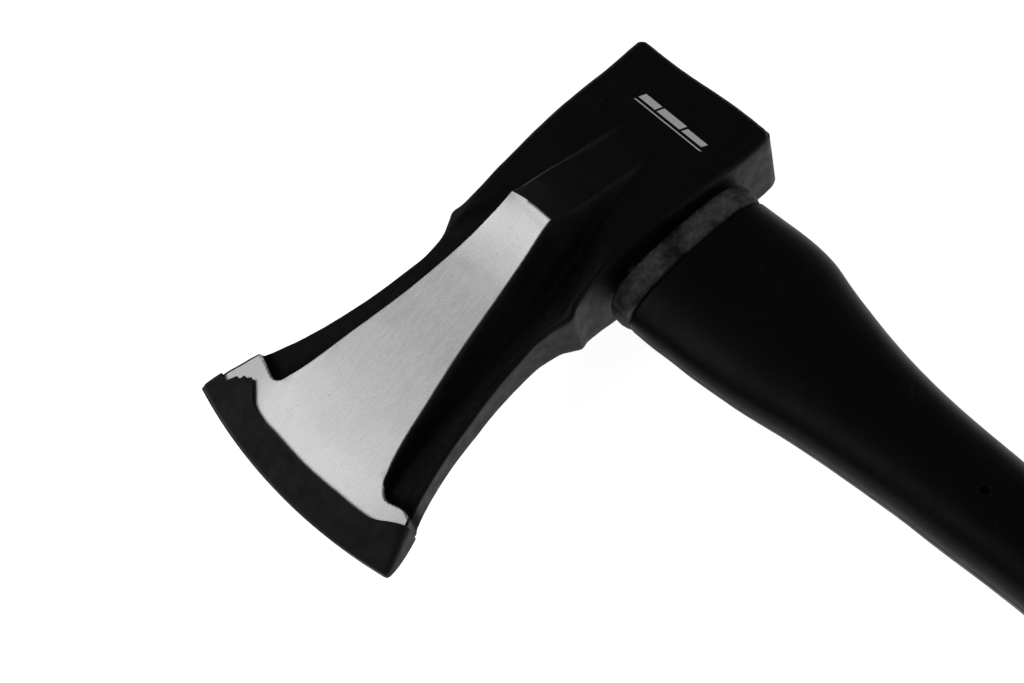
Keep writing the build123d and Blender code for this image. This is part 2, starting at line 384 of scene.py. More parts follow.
def head_sheet(grow=0.0, first=0.0):
    """The upper skin of the head: rows x columns x (x, y, z), grown outwards by a clearance."""
    rows = head_rows()
    rows = rows[rows >= first]
    warp = step(rows, 160, EDGE_BACK)
    halves = flank_half(rows, warp)
    sheet = []
    for back, bow, half in zip(rows, warp, halves):
        rim = float(rim_radius(back))
        side = head_columns(back, half, rim)
        a = np.concatenate([-side[:0:-1], side])
        crown = (0.55 - 1.75 * step(a, -14, 16)) * (1 - step(back, 0, 25))
        b = back - bow * edge_drop(a) + crown
        shift = crest_shift(a) * math.exp(-(((back - CREST_BACK) / CREST_SPREAD) ** 2))
        b = b + shift * (back < 150)
        corner = poll_corner(a)
        inward = np.clip(corner - back, 0, None)
        squeeze = (corner - np.sqrt(np.clip(corner**2 - inward**2, 0, None))) * 0.55
        z = cheek_surface(a, b)
        beside = half - np.abs(a)
        rounded = inside_corner(beside, back, HEAD_JOINT)
        both = (beside < HEAD_JOINT) & (back < HEAD_JOINT)
        near = np.where(both, rounded, np.minimum(beside, back))
        z = z - roll_off(np.clip(near, 0, None), rim) * np.where(beside < back, 1.0, 0.9)
        a = a * (1 - squeeze / half)
        sheet.append(np.stack([a * (1 + grow / half), -b, np.maximum(z, MIN_HALF_THICKNESS) + grow], axis=1))
    return np.array(sheet)


def forge(points):
    """Unevenness of the forging: broad waves, fine scale, and flow marks along the pockets."""
    a, back, z = points[:, 0], -points[:, 1], points[:, 2]
    depth = pocket_depth(a, back)
    painted = np.where(back < CREST_BACK, 1.0, step(depth, 0.2, 1.5))
    pocket = step(depth, 1.0, 5.0) * step(back, 66, 90)
    flat = points * np.array([1.0, 1.0, 0.3])
    waves = 0.16 * rough(flat, 21, 3.1) + 0.07 * rough(flat, 6.5, 9.7)
    scale = 0.05 * rough(points, 2.6, 5.2)
    flow = rough(np.stack([a - 0.33 * np.sign(a) * (back - 120), back, z * 0.2], axis=1), (2.6, 30, 8), 1.3)
    wide = rough(np.stack([a - 0.3 * np.sign(a) * (back - 120), back, z * 0.2], axis=1), (7, 45, 9), 6.3)
    return painted * (waves + scale + pocket * (0.22 * flow + 0.38 * wide))


def make_head():
    sheet = head_sheet()
    under = sheet * np.array([1, 1, -1])
    head = pillow("forged_maul_head", sheet, under, 10)
    turn_outwards(head)
    points = points_of(head)
    normals = np.empty(len(points) * 3)
    head.data.vertices.foreach_get("normal", normals)
    away = normals.reshape(-1, 3)
    points = points + away * forge(points)[:, None]
    set_points(head, points)
    cut(head, eye_cutter())
    shade(head, 38)
    return head


def slot_loop(x, size, count=96):
    """A long-round outline (two half circles and two straights) across the handle at x."""
    half_width, radius = size[0] / 2, size[1] / 2
    straight = half_width - radius
    length = 2 * math.pi * radius + 4 * straight
    loop = []
    for k in range(count):
        s = (k + 0.5) / count * length
        if s < 2 * straight:
            y, z = straight - s, radius
        elif s < 2 * straight + math.pi * radius:
            t = (s - 2 * straight) / radius
            y, z = -straight - radius * math.sin(t), radius * math.cos(t)
        elif s < 4 * straight + math.pi * radius:
            y, z = s - 3 * straight - math.pi * radius, -radius
        else:
            t = (s - 4 * straight - math.pi * radius) / radius
            y, z = straight + radius * math.sin(t), -radius * math.cos(t)
        loop.append((x, y - AXIS_BACK, z))
    return np.array(loop)


def eye_size(x):
    """Width and thickness of the tapered eye at x."""
    part_way = (x + EYE_REACH) / (2 * EYE_REACH)
    return [top + (bottom - top) * part_way for top, bottom in zip(EYE_TOP, EYE_BOTTOM)]


def eye_cutter():
    stations = [-EYE_REACH, 0.0, EYE_REACH]
    return tube("eye_cutter", np.array([slot_loop(x, eye_size(x)) for x in stations]))


# ---------------------------------------------------------------- the edge guard
GUARD_REACH = -GUARD_LO[1]
GUARD_HALF = GUARD_HI[0]
LIP = [
    (-50, 175.0), (-36.5, 178.6), (-33.3, 181.0), (-29, 184.7), (-25, 185.9), (-14.4, 186.5), (2.4, 186.8),
    (16.6, 185.6), (28, 184.3), (33, 183.1), (38, 180.1), (42.8, 177.2), (50, 175.0),
]
TORN_END = [
    (-34.4, 172), (-34.6, 178.9), (-35.7, 179.2), (-36.9, 180.4), (-38.5, 180.4), (-38.9, 182.2),
    (-40.6, 182.3), (-41.9, 184.4), (-42.6, 186.0), (-43.9, 185.4), (-45.6, 186.1), (-46.4, 185.0),
    (-47.3, 185.6), (-48.2, 187.2), (-60, 187.4), (-60, 172),
]
GUARD_TOP = ([0, 12.8, 24, 40], [1.9, 5.85, 9.1, 13.2])
GUARD_ROOM = 0.22


GUARD_SIDE = [(165, 39.4), (177, 44.3), (181, 45.9), (186.2, 47.9), (189.4, 49.0), (195, 50.0)]
guard_side_at = curve(GUARD_SIDE)


def guard_half(back):
    """Half width of the guard: close along the flank, then rounded into the nose."""
    corner = 1.8
    end = GUARD_REACH - float(edge_drop(GUARD_HALF)) + 0.5
    past = np.clip(back - (end - corner), 0, corner)
    return guard_side_at(back) - (corner - np.sqrt(corner**2 - past**2)) * 0.8


def guard_sheet():
    """The guard's upper skin, from behind its lip to its nose."""
    nose = GUARD_REACH - 6.4 * (1 - np.sin(np.linspace(0, math.pi / 2, 12)))
    rows = np.concatenate([np.arange(170, 192, 0.8), nose])
    warp = step(rows, 160, 194)
    sheet = []
    for back, bow in zip(rows, warp):
        half = GUARD_HALF
        for _ in range(14):
            half = float(guard_half(back - bow * edge_drop(half)))
        rolled = 0.93 + 0.07 * np.sin(np.linspace(0, math.pi / 2, 9))[1:]
        s = np.concatenate([np.linspace(0, 0.93, 60), rolled])
        s = np.concatenate([-s[:0:-1], s])
        a = s * half
        b = back - bow * (edge_drop(a) + 0.011 * a)
        inset = GUARD_REACH + EDGE_RADIUS - EDGE_BACK - np.hypot(a, b + EDGE_RADIUS - EDGE_BACK)
        z = np.interp(inset, *GUARD_TOP)
        z = soft_min(z, 5.6 + 0.5 * (half - np.abs(a)), 2.0)
        z = z - roll_off(np.clip(half - np.abs(a), 0, None), 1.9)
        z = z - roll_off(np.clip(inset, 0, None), 1.7)
        sheet.append(np.stack([a, -b, np.maximum(z, 0.12)], axis=1))
    return np.array(sheet)


def prism(name, outline, low, high):
    """A plan outline of (a, back) points, extruded between two heights."""
    flat = np.array([(a, -back) for a, back in outline], float)
    loops = np.array([np.column_stack([flat, np.full(len(flat), z)]) for z in (low, high)])
    return tube(name, loops)


def make_guard():
    sheet = guard_sheet()
    guard = pillow("edge_guard_cover", sheet, sheet * np.array([1, 1, -1]), 6)
    turn_outwards(guard)
    lip_at = curve(LIP)
    across = np.linspace(-54, 54, 73)
    wobble = 0.12 * np.array([noise.noise(Vector((a * 0.35, 2.0, 0))) for a in across])
    behind = [(a, back) for a, back in zip(across, lip_at(across) + wobble)] + [(54, 160), (-54, 160)]
    cut(guard, prism("lip_cutter", behind, -30, 30))
    cut(guard, prism("torn_cutter", TORN_END, -30, 30))
    room = head_sheet(grow=GUARD_ROOM, first=166.0)
    room[:, :, 1] -= 0.25 * (np.arange(len(room)) == len(room) - 1)[:, None]
    inside = pillow("guard_room", room, room * np.array([1, 1, -1]), 6)
    turn_outwards(inside)
    cut(guard, inside)
    points = points_of(guard)
    lift = 0.05 * rough(points, 9.0, 2.2) + 0.02 * rough(points, 2.5, 7.7)
    set_points(guard, points + np.column_stack([lift * 0.3, lift * 0, lift * np.sign(points[:, 2])]))
    shade(guard, 34)
    return guard


# ---------------------------------------------------------------- collar, cap and handle
def ring(name, section, outline, wobble=0.0):
    """A closed ring: section is (x, offset) points round its cut, outline gives the loop for an offset."""
    loops = np.array([outline(x, offset) for x, offset in section])
    obj = tube(name, loops, closed=True)
    if wobble:
        points = points_of(obj)
        points[:, 0] += wobble * rough(points, 7.0, 4.4)
        set_points(obj, points)
    return obj


COLLAR_POWER = 2.7


def make_collar():
    """The soft ring: full and slightly bulged, rolled at its rims, with a fine moulding step."""
    x0, x1 = COLLAR_LO[0], COLLAR_HI[0]
    wide, thick = COLLAR_HI[1] - COLLAR_LO[1], COLLAR_HI[2] - COLLAR_LO[2]
    angles = seam_angles(176)

    def outline(x, offset):
        return rounded_loop(x, wide / 2 - 0.4 + offset, thick / 2 - 0.2 + offset, COLLAR_POWER, angles)

    bore = -4.35
    section = [
        (x0, bore), (x0, -2.4), (x0 + 0.1, -1.5), (x0 + 0.45, -0.75), (x0 + 1.05, -0.25), (x0 + 2.0, 0.0),
        (x0 + 3.5, 0.2), (x0 + 5.2, 0.25), (x1 - 3.4, 0.1), (x1 - 2.2, -0.1), (x1 - 1.9, -0.4),
        (x1 - 1.2, -0.45), (x1 - 0.5, -0.7), (x1 - 0.1, -1.2), (x1, -1.9), (x1, bore),
    ]
    collar = ring("neck_collar_ring", section, outline, 0.14)
    shade(collar, 50)
    return collar


NECK_POWER = 2.4
HANDLE_HALF = [
    (41, 31.0), (51, 31.1), (59, 31.0), (67, 30.8), (75, 30.0), (85, 28.1), (95, 26.1), (105, 24.1),
    (120, 21.8), (135, 20.2), (150, 19.2), (165, 18.7), (180, 17.9), (220, 16.8), (300, 16.4),
    (420, 16.0), (520, 16.4), (840, 16.6),
]
HANDLE_THICK = [
    (41, 13.1), (70, 13.1), (100, 13.0), (140, 13.2), (170, 13.6), (220, 14.2), (300, 14.4),
    (420, 14.4), (560, 14.9), (840, 14.9),
]
HANDLE_LEAN = [
    (41, 0), (51, -0.3), (59, -0.8), (67, -1.0), (76, -0.9), (86, -0.1), (105, 0.45), (135, 0.5), (155, 0),
    (840, 0),
]
SEAT_SECTION = (14.0, 12.2, 3.6)
SEAT_AIR = 0.05
SPIGOT = (51.6, 19.6)
ROD_SECTION = (10.6, 7.6, 2.0)
ROD_SPAN = (20.0, 812.1)
NICK = (139.8, -1.0)
PIN = (166.7, -46.1)
GRIP_HALF = [(560, 17.3), (610, 18.2), (700, 17.3), (780, 18.2), (826, 20.8)]
GRIP_THICK = [(560, 15.3), (610, 15.9), (700, 15.2), (780, 15.9), (826, 16.6)]


def rounded_loop(x, half, thick, power, angles):
    """A superellipse section across the handle; power 2 is an ellipse and more is squarer."""
    c, s = np.cos(angles), np.sin(angles)
    y = half * np.sign(c) * np.abs(c) ** (2 / power)
    z = thick * np.sign(s) * np.abs(s) ** (2 / power)
    return np.column_stack([np.full(len(angles), x), y - AXIS_BACK, z])


def seam_angles(count):
    """Angles round the handle, closer together at the two mould seams."""
    t = np.arange(count) / count * 2 * math.pi
    return t - 0.42 * np.sin(2 * t)


def make_jacket():
    """The moulded handle: flared neck, straight shank, mould seams, and a thinner seat under the grip."""
    angles = seam_angles(144)
    half_at, thick_at, lean_at = curve(HANDLE_HALF), curve(HANDLE_THICK), curve(HANDLE_LEAN)
    x0, x1, seat = COLLAR_HI[0], JACKET_END, GRIP_LO[0]
    rim = x0 + np.array([0.05, 0.25, 0.7, 1.4, 2.4])
    neck_stations = np.arange(x0 + 3.6, 215, 1.4)
    stations = np.concatenate([rim, neck_stations, np.arange(217, seat, 4.0), [seat - 0.2]])
    loops = []
    for x in stations:
        lip = 1.4 * (1 - math.sqrt(1 - (1 - min((x - x0) / 1.6, 1)) ** 2))
        loop = rounded_loop(x, float(half_at(x)) - lip, float(thick_at(x)) - lip, NECK_POWER, angles)
        seam = 0.17 * np.exp(-((loop[:, 2] / 0.32) ** 2))
        loop[:, 1] += np.sign(loop[:, 1] + AXIS_BACK) * seam - float(lean_at(x))
        loops.append(loop)
    half, thick, power = SEAT_SECTION
    for x in (seat, x1 - 1.0, x1):
        broken = 0.6 * (x == x1)
        loops.append(rounded_loop(x, half - broken, thick - broken, power, angles))
    spigot = [slot_loop(x, SPIGOT, 144) for x in (COLLAR_LO[0] + 0.1, x0 - 0.05)]
    jacket = tube("handle_shell", np.array(loops))
    neck = tube("neck_spigot", np.array(spigot))
    join(jacket, neck)
    weather_jacket(jacket)
    for side in (1, -1):
        cut(jacket, pin_cutter(*PIN, side))
    around = np.linspace(0, 2 * math.pi, 64, endpoint=False)
    bore = [rounded_loop(x, *ROD_SECTION, around) for x in ROD_SPAN]
    cut(jacket, tube("rod_bore", np.array(bore)))
    shade(jacket, 40)
    return jacket


def weather_jacket(jacket):
    """Slight unevenness of the moulding, and one nick in the seam on the cutting edge's side."""
    points = points_of(jacket)
    shift = 0.07 * rough(points, 26.0, 8.1) + 0.02 * rough(points, 5.0, 2.9)
    away = (points[:, 0] - NICK[0]) ** 2 + (points[:, 2] - NICK[1]) ** 2
    nick = np.exp(-away / 1.3) * (points[:, 1] < -AXIS_BACK)
    points[:, 1] += np.sign(points[:, 1] + AXIS_BACK) * shift + 0.55 * nick
    points[:, 2] += np.sign(points[:, 2]) * shift
    set_points(jacket, points)


def join(obj, other):
    """Adds another mesh's faces to obj, and uses the other up."""
    work = bmesh.new()
    work.from_mesh(obj.data)
    work.from_mesh(other.data)
    work.to_mesh(obj.data)
    work.free()
    bpy.data.objects.remove(other)


def turned(name, profile, centre, count=40):
    """A solid of revolution about a vertical line, from (radius, height) points."""
    t = np.linspace(0, 2 * math.pi, count, endpoint=False)
    loops = []
    for r, z in profile:
        x, y = centre[0] + r * np.cos(t), centre[1] + r * np.sin(t)
        loops.append(np.column_stack([x, y, np.full(count, z)]))
    return tube(name, np.array(loops))


def pin_cutter(x, y, side):
    """A blind hole left by the mould's locating pin, with a small lead-in."""
    profile = [(1.15, 10.9), (1.45, 11.3), (1.5, 13.3), (2.2, 14.1), (2.3, 20.0)]
    return turned("pin_cutter", [(r, side * z) for r, z in profile], (x, y))


def outwards(angles):
    """Unit vectors across the handle at angles round it."""
    return np.column_stack([np.zeros(len(angles)), np.cos(angles), np.sin(angles)])


def grip_pattern(x, round_by):
    """Height of the moulded tread on the grip: slanting bars between plain bands."""
    slant = np.abs(((x / 9.0 + np.abs(np.sin(round_by)) * 0.9) % 1.0) - 0.5) * 2
    bars = step(slant, 0.42, 0.58)
    band = 1 - step(np.abs(np.cos(round_by)), 0.90, 0.97)
    return bars * band


def make_grip():
    """The rubber sleeve: waisted, with slanting tread bars, and a rolled lip at both ends."""
    x0, x1 = GRIP_LO[0], GRIP_HI[0]
    angles = seam_angles(176)
    half_at, thick_at = curve(GRIP_HALF), curve(GRIP_THICK)
    lip = [0.0, 0.15, 0.5, 1.1, 2.0, 3.2, 4.6, 5.2, 5.8, 7.0]
    middle = np.arange(x0 + 7.6, x1 - 7.4, 0.85)
    stations = np.concatenate([x0 + np.array(lip), middle, x1 - np.array(lip[::-1])])
    loops = []
    for x in stations:
        gap = min(x - x0, x1 - x)
        fall = 1.6 * (1 - math.sqrt(1 - (1 - min(gap / 1.8, 1)) ** 2))
        fall += 0.45 * math.exp(-(((gap - 5.3) / 0.8) ** 2))
        tread = 0.62 * grip_pattern(x, angles) * float(step(gap, 8, 12))
        half, thick = float(half_at(x)) - 0.5, float(thick_at(x)) - 0.5
        loop = rounded_loop(x, half, thick, 2.7, angles)
        loops.append(loop + outwards(angles) * (tread - fall)[:, None])
    half, thick, power = SEAT_SECTION
    for x in (x1, x0):
        loops.append(rounded_loop(x, half + SEAT_AIR, thick + SEAT_AIR, power, angles))
    grip = tube("grip_sleeve_rubber", np.array(loops), closed=True)
    shade(grip, 60)
    return grip


BUTT_ROUND = 7.0


def make_butt():
    """The end knob: fluted sides, rounded end and a hanging hole with eased rims."""
    x0, x1 = BUTT_LO[0], BUTT_HI[0]
    half, thick = (BUTT_HI[1] - BUTT_LO[1]) / 2, (BUTT_HI[2] - BUTT_LO[2]) / 2
    angles = seam_angles(168)
    end = x1 - BUTT_ROUND * (1 - np.sin(np.linspace(0, math.pi / 2, 14)))
    start = x0 + np.array([0, 0.1, 0.4, 0.9, 1.6])
    stations = np.concatenate([start, np.arange(x0 + 2.4, end[0] - 0.5, 0.8), end])
    loops = []
    for x in stations:
        fall = 1.4 * (1 - math.sqrt(1 - (1 - min((x - x0) / 1.5, 1)) ** 2))
        fall += BUTT_ROUND * (1 - math.sqrt(max(1 - max((x - end[0]) / BUTT_ROUND, 0) ** 2, 0)))
        flute = 0.42 * step(np.cos(angles * 12), 0.35, 0.75) * step(np.abs(np.cos(angles)), 0.35, 0.5)
        flute = flute * float(step(x, x0 + 4, x0 + 7) * (1 - step(x, x1 - 15, x1 - 11)))
        loop = rounded_loop(x, half - fall, thick - fall * 0.9, 3.0, angles)
        loops.append(loop - outwards(angles) * flute[:, None])
    butt = tube("butt_knob", np.array(loops))
    socket = [rounded_loop(x, 14.1, 12.3, 3.6, angles) for x in (x0 - 5, JACKET_END + 0.1)]
    cut(butt, tube("socket", np.array(socket)))
    place = MOUNTS["hang_hole"]
    radius = place["dims"]["r_mm"]
    eased = [(3, 1), (1.6, -0.1), (0.5, -0.9), (0, -2.2)]
    profile = [(radius + out, -thick - up) for out, up in eased]
    profile += [(radius + out, thick + up) for out, up in eased[::-1]]
    centre = (place["pos_m"][0] / MM, place["pos_m"][1] / MM)
    cut(butt, turned("hole", profile, centre, 56))
    shade(butt, 42)
    return butt


def make_cap():
    """The eye's plug: a shallow dished face with a raised rim."""
    outer, inner = CAP_LO[0], CAP_HI[0]
    section = [
        (inner, -0.05), (outer + 1.0, -0.05), (outer + 0.35, -0.3), (outer, -0.9), (outer, -2.2),
        (outer + 0.3, -2.7), (outer + 1.1, -3.1), (outer + 1.25, -4.2), (outer + 1.25, -8.0),
        (outer + 1.2, -11.5),
    ]
    loops = []
    for x, offset in section:
        wide, thick = eye_size(x)
        loops.append(slot_loop(x, (wide + 2 * offset, thick + 2 * offset), 120))
    cap = tube("eye_plug", np.array(loops))
    shade(cap, 40)
    return cap


def mark_patch(a0, a1, b0, b1, slant):
    """A thin raised print on the cheek between two places across and two back, leaning by slant."""
    s = np.linspace(0, 1, 26)
    rows = []
    for t in np.linspace(0, 1, 7):
        a = a0 + (a1 - a0) * s - slant * (t - 0.5)
        b = np.full_like(a, b0 + (b1 - b0) * t)
        rows.append(np.column_stack([a, -b, cheek_surface(a, b)]))
    sheet = np.array(rows)
    return sheet + np.array([0, 0, 0.30]), sheet - np.array([0, 0, 0.45])


MARK_BARS = [
    (-12.6, -4.6, 16.3, 18.9), (-3.6, 7.4, 16.3, 18.9), (8.4, 17.9, 16.8, 18.9), (-13.4, 18.4, 20.1, 20.5),
]


def make_mark():
    """A plain generic print: a broad broken bar over a thin line."""
    mark = None
    for a0, a1, b0, b1 in MARK_BARS:
        top, low = mark_patch(a0, a1, b0, b1, 1.0)
        piece = pillow("plain_mark", top, low, 1)
        turn_outwards(piece)
        if mark:
            join(mark, piece)
        else:
            mark = piece
    shade(mark, 30)
    return mark


# ---------------------------------------------------------------- materials
class Paint:
    """A material being wired up, with coordinates in mm."""

    def __init__(self, name, colour, rough_, metallic=0.0, **sockets):
        self.material = bpy.data.materials.new(name)
        self.material.use_nodes = True
        self.tree = self.material.node_tree
        self.shader = self.tree.nodes["Principled BSDF"]
        self.shader.inputs["Base Color"].default_value = (*colour, 1)
        self.shader.inputs["Roughness"].default_value = rough_
        self.shader.inputs["Metallic"].default_value = metallic
        for socket, value in sockets.items():
            self.shader.inputs[socket.replace("_", " ")].default_value = value
        self.place = self.add("ShaderNodeTexCoord").outputs["Object"]

    def add(self, kind, **settings):
        node = self.tree.nodes.new(kind)
        for key, value in settings.items():
            setattr(node, key, value)
        return node

    def link(self, output, target):
        self.tree.links.new(output, target)

    def feed(self, socket, value):
        if isinstance(value, bpy.types.NodeSocket):
            self.link(value, socket)
        else:
            socket.default_value = value

    def math(self, operation, one, two=0.0, three=0.0):
        node = self.add("ShaderNodeMath", operation=operation)
        for socket, value in zip(node.inputs, (one, two, three)):
            self.feed(socket, value)
        return node.outputs[0]

    def coords(self, size, turn=0.0):
        """Object coordinates divided by a feature size in mm each way, turned about Z by degrees."""
        turned_ = self.add("ShaderNodeMapping", vector_type="POINT")
        turned_.inputs["Rotation"].default_value = (0, 0, math.radians(turn))
        self.link(self.place, turned_.inputs["Vector"])
        scaled = self.add("ShaderNodeMapping", vector_type="POINT")
        scaled.inputs["Scale"].default_value = [1 / (MM * s) for s in size]
        self.link(turned_.outputs[0], scaled.inputs["Vector"])
        return scaled.outputs[0]

    def noise(self, size, detail=3.0, turn=0.0, rough_=0.55, seed=0.0):
        """Noise from 0 to 1 with features of a size in mm, one number or three."""
        size = (size,) * 3 if np.ndim(size) == 0 else size
        node = self.add("ShaderNodeTexNoise", noise_dimensions="4D")
        node.inputs["W"].default_value = seed
        node.inputs["Scale"].default_value = 1.0
        node.inputs["Detail"].default_value = detail
        node.inputs["Roughness"].default_value = rough_
        self.link(self.coords(size, turn), node.inputs["Vector"])
        return node.outputs["Fac"]

    def cells(self, size, feature="F1"):
        node = self.add("ShaderNodeTexVoronoi", feature=feature)
        node.inputs["Scale"].default_value = 1.0
        self.link(self.coords((size,) * 3), node.inputs["Vector"])
        return node.outputs["Distance"]

    def between(self, value, low, high, out_low=0.0, out_high=1.0):
        node = self.add("ShaderNodeMapRange", interpolation_type="SMOOTHSTEP")
        sockets = ("Value", "From Min", "From Max", "To Min", "To Max")
        for socket, number in zip(sockets, (value, low, high, out_low, out_high)):
            self.feed(node.inputs[socket], number)
        return node.outputs[0]

    def mix(self, factor, one, two):
        """Mixes two colours or colour outputs."""
        node = self.add("ShaderNodeMix", data_type="RGBA")
        self.feed(node.inputs[0], factor)
        for socket, value in ((node.inputs[6], one), (node.inputs[7], two)):
            self.feed(socket, value if isinstance(value, bpy.types.NodeSocket) else (*value, 1))
        return node.outputs[2]

    def stored(self, name):
        return self.add("ShaderNodeAttribute", attribute_name=name).outputs["Fac"]

    def bump(self, height, strength, distance):
        """Adds a bump of a height output; distance is in mm."""
        node = self.add("ShaderNodeBump")
        node.inputs["Strength"].default_value = strength
        node.inputs["Distance"].default_value = distance * MM
        self.link(height, node.inputs["Height"])
        if self.shader.inputs["Normal"].links:
            self.link(self.shader.inputs["Normal"].links[0].from_socket, node.inputs["Normal"])
        self.link(node.outputs[0], self.shader.inputs["Normal"])

    def set(self, socket, output):
        self.link(output, self.shader.inputs[socket])


def scratches(paint, size, turn, low, high, seed):
    """Sparse thin lines along one direction: stretched noise kept only near its middle value, in patches."""
    line = paint.noise(size, 0.0, turn, seed=seed)
    thin = paint.between(paint.math("ABSOLUTE", paint.math("SUBTRACT", line, 0.5)), 0.0, 0.012, 1.0, 0.0)
    patch = paint.between(paint.noise(14, 1.0, seed=seed + 4), low, high)
    return paint.math("MULTIPLY", thin, patch)


def ground_steel(p):
    """Colour, roughness and relief of the ground face: short grain, clouds, pits, smudges, and painted shade
    darker towards the ends of the edge.
    """
    along = p.noise((0.17, 5.5, 0.8), 3.0, 4.0, 0.7, seed=1.0)
    coarse = p.noise((0.55, 15.0, 2.0), 3.0, -3.0, 0.65, seed=2.0)
    speck = p.noise((0.38, 0.75, 0.5), 2.0, 12.0, 0.6, seed=6.0)
    cross = p.noise((18.0, 0.35, 3.0), 1.0, 9.0, seed=3.0)
    grain = p.math("ADD", p.math("MULTIPLY", along, 0.42), p.math("MULTIPLY", coarse, 0.30))
    grain = p.math("ADD", grain, p.math("MULTIPLY", speck, 0.28))
    cloud = p.noise((9, 16, 9), 3.0, seed=5.0)
    pits = p.between(p.cells(1.7), 0.06, 0.16, 1.0, 0.0)
    pits = p.math("MULTIPLY", pits, p.between(p.noise(6, 1.0, seed=8.0), 0.56, 0.66))
    bright = p.mix(p.between(grain, 0.38, 0.62), (0.44, 0.44, 0.45), (0.76, 0.76, 0.77))
    bright = p.mix(p.between(cloud, 0.45, 0.75, 0.0, 0.22), bright, (0.42, 0.42, 0.43))
    bright = p.mix(p.math("MULTIPLY", pits, 0.6), bright, (0.12, 0.115, 0.11))
    # smudges, and painted shade towards the ends of the edge, darken the ground steel
    bright = p.mix(p.math("MULTIPLY", p.stored("smudge_and_shade"), 0.55), bright, (0.27, 0.27, 0.275))
    shine = p.between(grain, 0.36, 0.64, 0.34, 0.50)
    cuts = p.math("ADD", grain, p.math("MULTIPLY", cross, 0.25))
    return bright, shine, p.math("SUBTRACT", cuts, p.math("MULTIPLY", pits, 1.5))


def forging_paint(p):
    """Colour, roughness and relief of the black paint: dust, worn edges, scale in the pockets, flecks, and
    painted shade making the rib's walls nearly black.
    """
    dust = p.between(p.noise(13, 4.0, seed=11.0), 0.5, 0.8)
    paint = p.mix(p.math("MULTIPLY", dust, 0.5), (0.0034, 0.0034, 0.0035), (0.0070, 0.0069, 0.0068))
    paint = p.mix(p.between(p.stored("worn"), 0.25, 0.8, 0.0, 0.35), paint, (0.016, 0.0155, 0.015))
    floor = p.stored("floor")
    scale = p.math("MULTIPLY", p.between(p.noise(1.5, 5.0, 0.0, 0.75, 25.0), 0.36, 0.66), floor)
    paint = p.mix(p.math("MULTIPLY", scale, 0.75), paint, (0.014, 0.0135, 0.013))
    flow = p.between(p.noise((2.2, 26.0, 6.0), 4.0, 0.0, 0.7, 23.0), 0.40, 0.72)
    flow = p.math("MULTIPLY", flow, floor)
    paint = p.mix(p.math("MULTIPLY", flow, 0.4), paint, (0.022, 0.021, 0.020))
    # painted shade: the rib's walls are painted nearly black
    paint = p.mix(p.stored("wall"), paint, (0.0006, 0.0006, 0.0006))
    flecks = p.between(p.cells(7.5), 0.035, 0.055, 1.0, 0.0)
    flecks = p.math("MULTIPLY", flecks, p.between(p.noise(23, 1.0, seed=14.0), 0.55, 0.6))
    paint = p.mix(p.math("MULTIPLY", flecks, 0.6), paint, (0.045, 0.042, 0.040))
    dull = p.between(p.noise(5, 3.0, seed=17.0), 0.3, 0.7, 0.40, 0.56)
    dull = p.math("ADD", dull, p.math("MULTIPLY", p.stored("wall"), 0.4))
    broad = p.math("MULTIPLY", p.noise(1.1, 3.0, seed=20.0), 0.6)
    return paint, dull, p.math("ADD", broad, p.noise(0.35, 1.0, seed=21.0))


def head_material():
    """Black forging paint with ground steel where the stored distance says so."""
    p = Paint("head_paint_and_steel", (0.003, 0.003, 0.003), 0.5, Specular_IOR_Level=0.13)
    ragged = p.math("MULTIPLY", p.math("SUBTRACT", p.noise(0.9, 2.0), 0.5), 0.35)
    steel = p.between(p.math("ADD", p.stored("ground"), ragged), -0.12, 0.12)
    bright, shine, cuts = ground_steel(p)
    paint, dull, skin = forging_paint(p)
    p.set("Base Color", p.mix(steel, paint, bright))
    p.set("Metallic", steel)
    blend = p.add("ShaderNodeMix", data_type="FLOAT")
    for socket, value in zip(blend.inputs[:1] + blend.inputs[2:4], (steel, dull, shine)):
        p.feed(socket, value)
    p.set("Roughness", blend.outputs[0])
    p.bump(p.math("MULTIPLY", skin, p.math("SUBTRACT", 1.0, steel)), 0.5, 0.16)
    p.bump(p.math("MULTIPLY", cuts, steel), 0.35, 0.045)
    return p.material


def rubber_material(name, dark, pale, dust_from, dust_to, rough_):
    """Matte moulded rubber with bloom, fine skin and rubbed edges."""
    p = Paint(name, dark, rough_, Specular_IOR_Level=0.2)
    bloom = p.between(p.noise((11, 11, 11), 5.0, rough_=0.65, seed=1.5), dust_from, dust_to)
    fine = p.between(p.noise(1.3, 3.0, seed=3.5), 0.35, 0.7, 0.55, 1.0)
    body = p.mix(p.math("MULTIPLY", bloom, fine), dark, pale)
    worn = p.between(p.stored("worn"), 0.3, 0.9, 0.0, 0.4)
    lighter = tuple(min(1.0, 2.2 * c + 0.012) for c in dark)
    p.set("Base Color", p.mix(worn, body, lighter))
    p.set("Roughness", p.between(p.noise(4, 3.0, seed=6.5), 0.3, 0.7, rough_ - 0.07, rough_ + 0.07))
    skin = p.math("ADD", p.noise(0.55, 3.0, seed=8.5), p.math("MULTIPLY", p.noise(3.5, 2.0, seed=9.5), 0.8))
    p.bump(skin, 0.4, 0.12)
    return p.material


